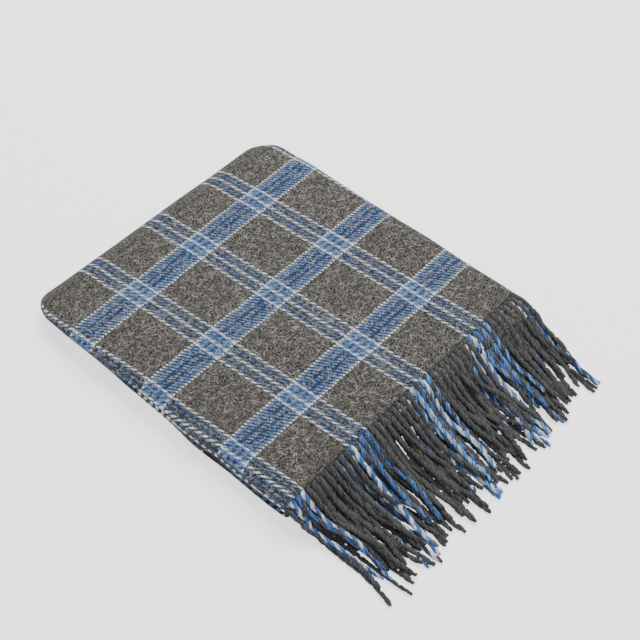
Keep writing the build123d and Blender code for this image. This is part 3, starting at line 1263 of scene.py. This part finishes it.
# %% Colours of the fringe
def blue_strand(r, which, yarn, streak):
    """Every other strand is blue and the rest cream or nearly black; some of both are dark."""
    lot = r.node("ShaderNodeTexWhiteNoise", {"noise_dimensions": "1D"}, {"W": which + 0.37})
    lot_two = r.node("ShaderNodeTexWhiteNoise", {"noise_dimensions": "1D"}, {"W": which + 91.7})
    first = r.mix(streak.rise(0.42, 0.58), srgb(10, 42, 92), srgb(30, 112, 204))
    first = r.mix(yarn * lot.rise(0.35, 0.75) * 0.9, first, srgb(122, 180, 230))
    pale = r.mix(streak.rise(0.42, 0.6), srgb(204, 208, 210), srgb(252, 251, 245))
    dark = r.mix(streak.rise(0.42, 0.62), srgb(18, 18, 22), srgb(66, 68, 76))
    second = r.mix(lot_two.rise(0.5, 0.52), pale, dark)
    second = r.mix(yarn * 0.35, second, first)
    colour = r.mix(which % 2.0, first, second)
    return r.mix(lot_two.rise(0.84, 0.86), colour, dark)


def charcoal_strand(r, which, yarn, streak):
    """Dark grey, a little lighter or darker from strand to strand."""
    lot = r.node("ShaderNodeTexWhiteNoise", {"noise_dimensions": "1D"}, {"W": which + 0.37})
    colour = r.mix(streak.rise(0.4, 0.62), srgb(24, 23, 23), srgb(80, 79, 78))
    colour = r.mix(yarn * 0.4, colour, srgb(28, 27, 27))
    return r.mix(lot * 0.3, colour, srgb(84, 84, 86))


# %% [markdown]
# ## The finish of the fringe
# The same recipe serves both kinds of tassel. Its streaks wind round the strand, and its bumps
# follow them.


# %% Fringe finishes
def make_fringe_material(name, strand_colour, hair_colour):
    r = Recipe(name)
    place = r.node("ShaderNodeUVMap", {"uv_map": "Strand"})
    u = r.node("ShaderNodeSeparateXYZ", None, {0: place})
    v = Thread(r, u.socket.node.outputs[1])
    which = u.whole()
    around = (u - which) / 0.98
    along = v * 100.0
    wound = around * 3 + along / 8.5
    yarn = abs(wound % 1.0 - 0.5).rise(0.17, 0.33)
    streak_place = r.node("ShaderNodeCombineXYZ", None, {0: wound * 3.0, 1: along * 0.22, 2: which * 3.1})
    streak = r.noise(streak_place, 1.6, 3.0, 0.6)
    fine = r.noise(streak_place, 5.0, 2.0, 0.6)
    colour = strand_colour(r, which, yarn, streak)
    colour = r.mix(fine.rise(0.56, 0.64) * 0.55, colour, hair_colour)
    height = yarn * 0.5 + streak * 0.8 + fine * 0.4
    bump = r.node("ShaderNodeBump", None, {"Strength": 0.6, "Distance": 0.0005, "Height": height})
    r.feed(r.shader.inputs["Base Color"], colour)
    r.feed(r.shader.inputs["Normal"], bump)
    r.feed(r.shader.inputs["Roughness"], 0.82 + (fine - 0.5) * 0.15)
    r.shader.inputs["Sheen Weight"].default_value = 0.25
    r.shader.inputs["Sheen Roughness"].default_value = 0.5
    r.shader.inputs["Specular IOR Level"].default_value = 0.15
    return r.material


fringe_finish = {
    "blue": make_fringe_material("twisted_blue_wool", blue_strand, srgb(196, 198, 200)),
    "charcoal": make_fringe_material("twisted_charcoal_wool", charcoal_strand, srgb(150, 150, 150)),
}
for obj, (ply, zone, colour) in fringe.items():
    obj.data.materials.append(fringe_finish[colour])
    colour + "_fringe"
for obj in hidden:
    obj.data.materials.append(fringe_finish["charcoal"])
print("fringe finishes:", [finish.name for finish in fringe_finish.values()])

# %% [markdown]
# ## Tie the fringes on
# Both fringes hang from the upper half, so they ride with it. The one that shows hangs over the
# front edge.

# %% Fringe ties
for obj, (ply, zone, colour) in fringe.items():
    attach(obj, "upper_half")
    (TOP_Z + PLY_HEIGHT[ply]) * MM
    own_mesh(obj)
    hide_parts(f"fringe_ply{PLY_NUMBER[ply]}_zone{zone + 1:02d}_{colour}")
for obj, ply in hidden.items():
    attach(obj, "upper_half")
    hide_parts(f"tucked_fringe_ply{PLY_NUMBER[ply]}")
print(len(fringe), "groups flatten as the hinge turns,", len(hidden), "only ride")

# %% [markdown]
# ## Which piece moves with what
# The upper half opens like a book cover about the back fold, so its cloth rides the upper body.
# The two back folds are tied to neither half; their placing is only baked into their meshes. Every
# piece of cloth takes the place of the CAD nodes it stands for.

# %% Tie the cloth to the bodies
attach(cloth_top, "upper_half")
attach(cloth_middle, "upper_half")
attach(cloth_lower, "lower_half")


def bend_between(piece):
    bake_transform(piece)


bend_between(back_outer)
bend_between(back_inner)
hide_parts("panel_top")
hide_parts("panel_upper_middle", "front_fold_upper", "turned_in_end")
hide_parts("panel_bottom", "panel_lower_middle", "front_fold_lower")
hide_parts("back_fold_outer")
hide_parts("back_fold_inner")

# %% [markdown]
# ## The flat size of each sheet
# The flat lengths of the upper middle piece and of the lower panels are worked out from the fold
# lines.

# %% Flat sizes
(Q8 + FOLD_X - TURNED_END_X - Q6) * MM
(Q5 - Q2) * MM
print("sheets", CLOTH_WIDTH, "mm wide; the lower one is", round(Q5 - Q2), "mm long")
